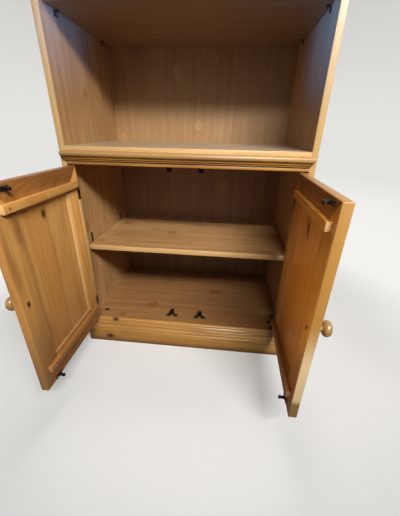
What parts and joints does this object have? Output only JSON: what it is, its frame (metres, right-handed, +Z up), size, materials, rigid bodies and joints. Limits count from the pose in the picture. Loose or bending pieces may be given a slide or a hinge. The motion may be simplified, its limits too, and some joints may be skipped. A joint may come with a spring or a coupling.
{
  "type": "pantry cabinet",
  "caption": "Tall pine pantry cabinet with open shelves above and a cupboard below, closed by a pair of inset panelled doors with mitred frames on wrap-round hinges.",
  "frame": {"origin": "on the floor under the centre of the carcass, at the underside of the plinth's centre bearer", "axes": "+X to the right seen from the front, +Y from the front to the back, +Z up"},
  "size_m": [0.772, 0.8124, 1.78],
  "materials": {
    "foil_board": "satin pine-effect board, low-contrast grain",
    "pine": "honey-coloured lacquered solid pine with knots, satin",
    "pine_edge": "pale lacquered pine edge strip",
    "raw_pine": "bare softwood, matt",
    "knob_pine": "turned pine, glossy lacquer",
    "back_board": "thin printed board, matt",
    "dark_metal": "black-bronze enamel, worn at the edges",
    "clip_plastic": "dark brown plastic",
    "screw_steel": "plated steel, slightly dull"
  },
  "bodies": {
    "carcass": {"side_left": "foil_board", "side_right": "foil_board", "side_lippings": "pine_edge", "top_board": "foil_board", "cornice": "pine", "mid_shelf": "foil_board", "mid_shelf_lipping": "pine_edge", "mid_moulding": "pine", "mid_rail": "pine", "cupboard_floor": "foil_board", "plinth_front": "pine", "plinth_rear": "raw_pine", "plinth_bearer": "raw_pine", "plinth_blocks": "raw_pine", "floor_screws": "screw_steel", "back_lower": "back_board", "back_upper": "back_board", "back_pins": "screw_steel", "carcass_dowels": "raw_pine", "cupboard_shelf": "foil_board", "open_shelf": "foil_board", "high_shelf": "foil_board", "shelf_lippings": "pine_edge", "shelf_clips": "clip_plastic", "door_stops": "pine", "catches_lower": "dark_metal", "catches_upper": "dark_metal", "catch_screws": "screw_steel", "side_leaves": "dark_metal", "hinge_pins": "dark_metal", "side_leaf_screws": "screw_steel"},
    "door_left": {"left_hinge_stile": "pine", "left_meeting_stile": "pine", "left_top_rail": "pine", "left_bottom_rail": "pine", "left_panel": "pine", "left_beads": "pine", "left_top_batten": "pine", "left_bottom_batten": "pine", "left_plugs": "raw_pine", "left_screws": "screw_steel", "left_knob": "knob_pine", "left_knob_screw": "screw_steel", "left_strikers": "dark_metal", "left_leaves": "dark_metal"},
    "door_right": {"right_hinge_stile": "pine", "right_meeting_stile": "pine", "right_top_rail": "pine", "right_bottom_rail": "pine", "right_panel": "pine", "right_beads": "pine", "right_top_batten": "pine", "right_bottom_batten": "pine", "right_plugs": "raw_pine", "right_screws": "screw_steel", "right_knob": "knob_pine", "right_knob_screw": "screw_steel", "right_strikers": "dark_metal", "right_leaves": "dark_metal"}
  },
  "joints": [
    {"name": "left_door_hinge", "type": "hinge", "parent": "carcass", "child": "door_left", "pos_m": [-0.36075, -0.2282, 0.39], "axis": [0, 0, -1], "range_deg": [-89.4, 80.6]},
    {"name": "right_door_hinge", "type": "hinge", "parent": "carcass", "child": "door_right", "pos_m": [0.36075, -0.2282, 0.39], "axis": [0, 0, 1], "range_deg": [-89.4, 80.6]}
  ]
}
